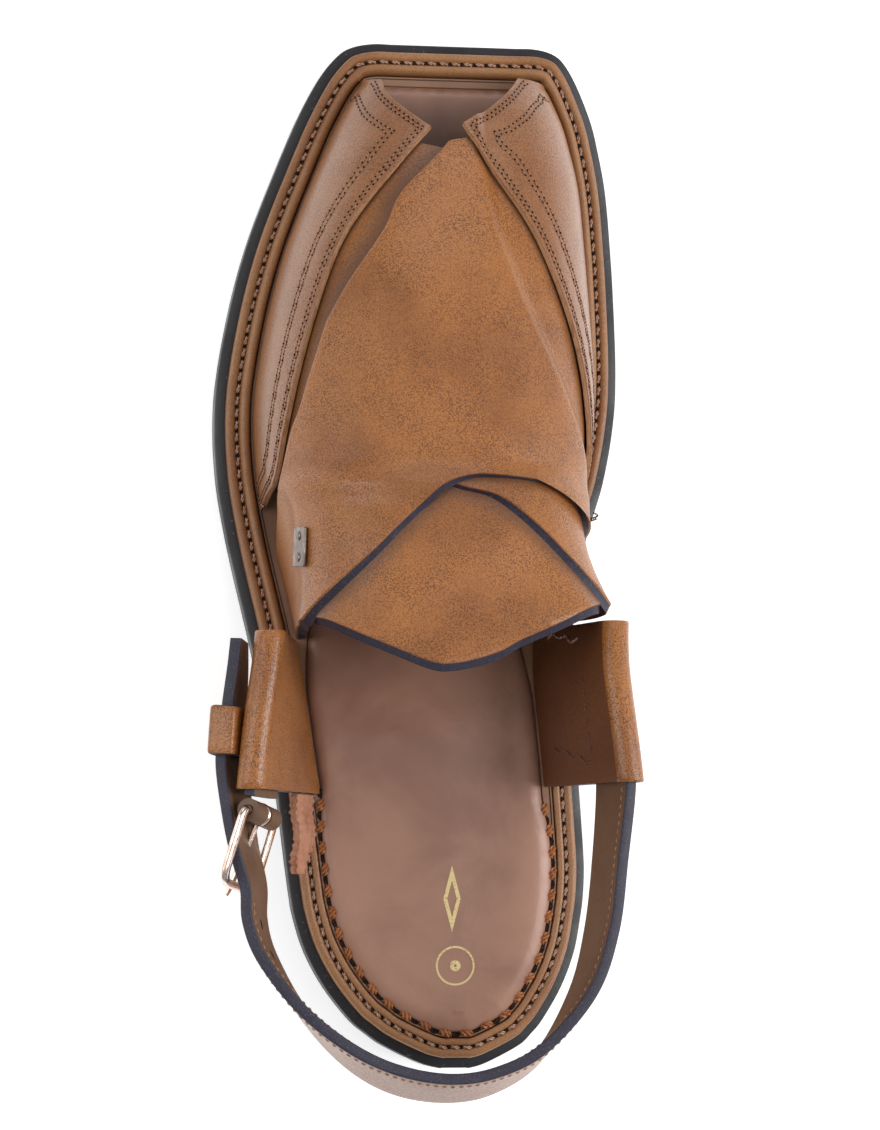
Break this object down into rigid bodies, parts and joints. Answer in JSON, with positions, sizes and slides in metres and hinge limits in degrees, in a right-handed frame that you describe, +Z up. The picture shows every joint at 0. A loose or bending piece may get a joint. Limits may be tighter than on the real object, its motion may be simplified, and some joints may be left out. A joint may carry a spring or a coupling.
{
  "type": "peshawari chappal",
  "caption": "Left foot peshawari chappal: crossed leather vamp straps over a tongue, a square toed welted sole, side loops and a buckled heel strap.",
  "frame": {"origin": "on the floor under the middle of the heel block", "axes": "+Y towards the toe, +Z up, +X towards the inner side of the left foot"},
  "size_m": [0.1304, 0.3158, 0.0769],
  "materials": {
    "black_rubber": "black, scuffed along its edge",
    "heel_rubber": "black, matt",
    "welt_leather": "brown, waxed, with a stitched groove",
    "insole_leather": "brown, satin, padded",
    "upper_leather": "tan, waxed and burnished, navy painted edges",
    "panel_leather": "tan, waxed and burnished, double stitched",
    "loop_leather": "tan, waxed and burnished, folded",
    "raw_leather": "unfinished flesh side",
    "strap_leather": "tan outside, navy painted edges",
    "buckle_metal": "pink gold plated, polished",
    "ornament_metal": "dark grey plated"
  },
  "bodies": {
    "root": {"outsole": "black_rubber", "heel": "heel_rubber", "welt": "welt_leather", "insole": "insole_leather", "upper": "upper_leather", "panel_lateral": "panel_leather", "panel_medial": "panel_leather", "loop_lateral": "loop_leather", "loop_medial": "loop_leather", "loop_tail": "raw_leather", "heel_strap": "strap_leather", "buckle_strap": "strap_leather", "keeper": "strap_leather", "buckle_frame": "buckle_metal", "buckle_pin": "buckle_metal", "ornament": "ornament_metal"}
  },
  "joints": []
}
